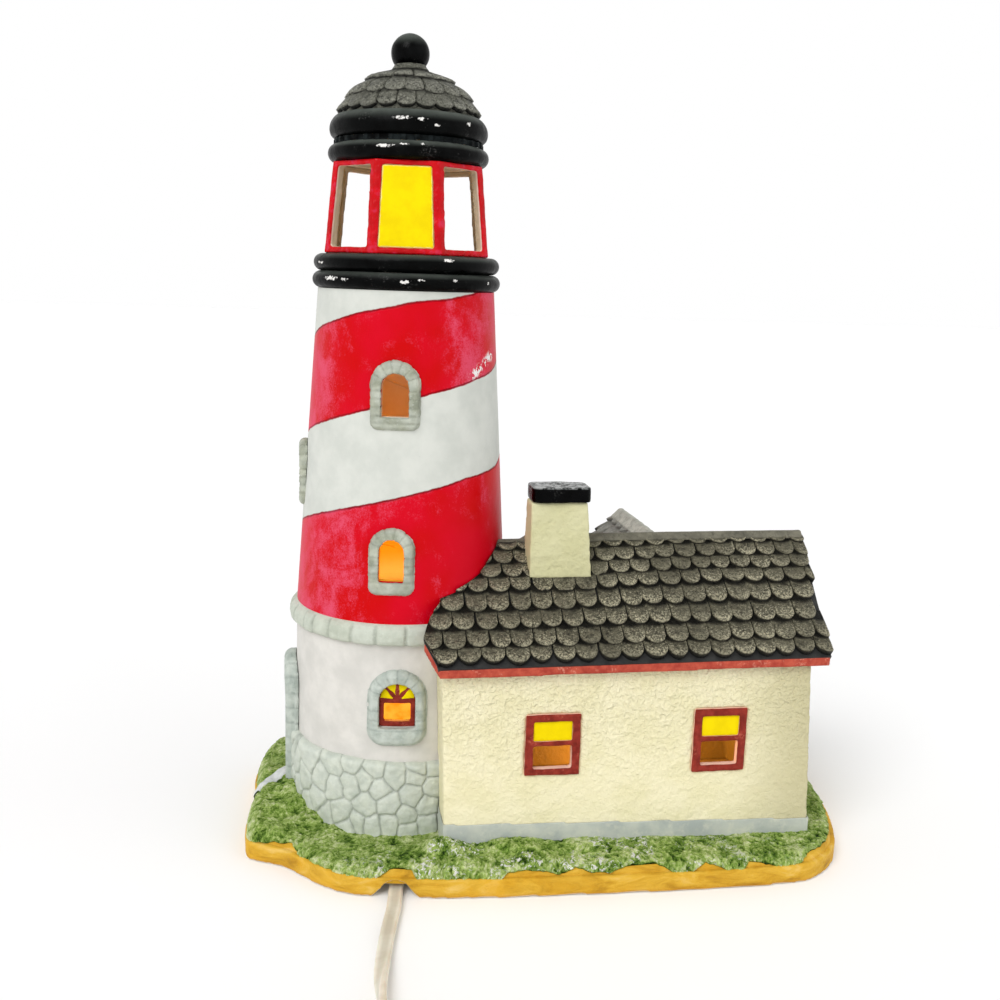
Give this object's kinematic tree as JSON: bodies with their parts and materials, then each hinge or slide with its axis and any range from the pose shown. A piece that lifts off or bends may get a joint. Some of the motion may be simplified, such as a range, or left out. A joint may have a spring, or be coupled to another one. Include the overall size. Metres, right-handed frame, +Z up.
{
  "type": "lighthouse table lamp",
  "caption": "Painted ceramic table lamp shaped as a lighthouse with a keeper's cottage, open lantern and windows, lit from inside by a small bulb in a clip-in socket.",
  "frame": {"origin": "middle of the base's bounding rectangle, on the table", "axes": "+Z up; +X to the right along the cottage's front; +Y to the back; the cottage windows face -Y"},
  "size_m": [0.2361, 0.3043, 0.3],
  "materials": {
    "sand_paint": "matte",
    "grass_paint": "matte",
    "path_paint": "matte",
    "stone_paint": "matte",
    "stripe_paint": "satin",
    "bare_bisque": "matte",
    "surround_paint": "satin",
    "red_brown_paint": "satin",
    "amber_pane": "satin",
    "door_paint": "matte",
    "black_gloss": "gloss",
    "lantern_red": "satin",
    "yellow_pane": "satin",
    "dome_grey": "matte",
    "cottage_cream": "matte",
    "plinth_paint": "matte",
    "roof_charcoal": "matte",
    "clip_steel": "satin",
    "socket_plastic": "matte",
    "contact_brass": "satin",
    "bulb_glass": "gloss",
    "filament_wire": "satin",
    "cord_vinyl": "matte",
    "switch_plastic": "satin",
    "screw_steel": "satin",
    "tip_solder": "satin"
  },
  "bodies": {
    "lamp_unit": {"clip_plate": "clip_steel", "socket_body": "socket_plastic", "socket_shell": "contact_brass", "socket_contact": "contact_brass", "socket_cap": "socket_plastic", "cord_lead": "cord_vinyl", "switch_base": "switch_plastic", "switch_cover": "switch_plastic", "switch_contacts": "contact_brass", "switch_screw": "screw_steel", "cord_link": "cord_vinyl", "cord_coil": "cord_vinyl", "cord_tail": "cord_vinyl", "plug_body": "switch_plastic", "plug_blades": "contact_brass"},
    "lighthouse": {"sand_base": "sand_paint", "grass_bank": "grass_paint", "door_path": "path_paint", "stone_foundation": "stone_paint", "tower_wall": "stripe_paint", "tower_floor": "bare_bisque", "stone_band": "stone_paint", "upper_window_surround": "surround_paint", "middle_window_surround": "surround_paint", "ground_window_surround": "surround_paint", "ground_window_sash": "red_brown_paint", "fanlight_panes": "amber_pane", "side_window_surround": "surround_paint", "door_surround": "surround_paint", "tower_door": "door_paint", "gallery_floor": "bare_bisque", "gallery_lower_ring": "black_gloss", "gallery_upper_ring": "black_gloss", "lantern_frame": "lantern_red", "lantern_panes": "yellow_pane", "dome_lower_ring": "black_gloss", "dome_dentil_course": "black_gloss", "dome_upper_ring": "black_gloss", "dome_roof": "dome_grey", "dome_collar": "black_gloss", "ball_finial": "black_gloss", "cottage_walls": "cottage_cream", "cottage_plinth": "plinth_paint", "cottage_roof": "roof_charcoal", "roof_trim": "red_brown_paint", "ridge_cap": "roof_charcoal", "chimney_stack": "cottage_cream", "chimney_cap": "black_gloss", "cottage_window_frames": "red_brown_paint", "cottage_window_panes": "yellow_pane", "wing_walls": "cottage_cream", "wing_roof": "roof_charcoal", "wing_trim": "red_brown_paint", "wing_ridge_cap": "roof_charcoal"},
    "bulb_tip_contact": {"bulb_tip": "tip_solder"},
    "bulb": {"bulb_cap": "contact_brass", "bulb_glass": "bulb_glass", "bulb_filament": "filament_wire"},
    "switch_wheel": {"switch_wheel": "switch_plastic"}
  },
  "joints": [
    {"name": "shell_lift", "type": "slide", "parent": "lamp_unit", "child": "lighthouse", "axis": [0, 0, 1], "range_m": [0, 0.1]},
    {"name": "bulb_lift", "type": "slide", "parent": "lamp_unit", "child": "bulb_tip_contact", "axis": [0, 0, 1], "range_m": [0, 0.0077]},
    {"name": "bulb_turn", "type": "hinge", "parent": "bulb_tip_contact", "child": "bulb", "pos_m": [-0.058, 0.006, 0.0173], "axis": [0, 0, 1], "range_deg": [0, 1080]},
    {"name": "switch_wheel_turn", "type": "hinge", "parent": "lamp_unit", "child": "switch_wheel", "pos_m": [-0.0705, -0.181, 0.008], "axis": [0, 0, 1], "continuous": true}
  ],
  "couplings": [
    {"joint": "bulb_lift", "follows": "bulb_turn", "m_per_rad": 0.000404}
  ]
}
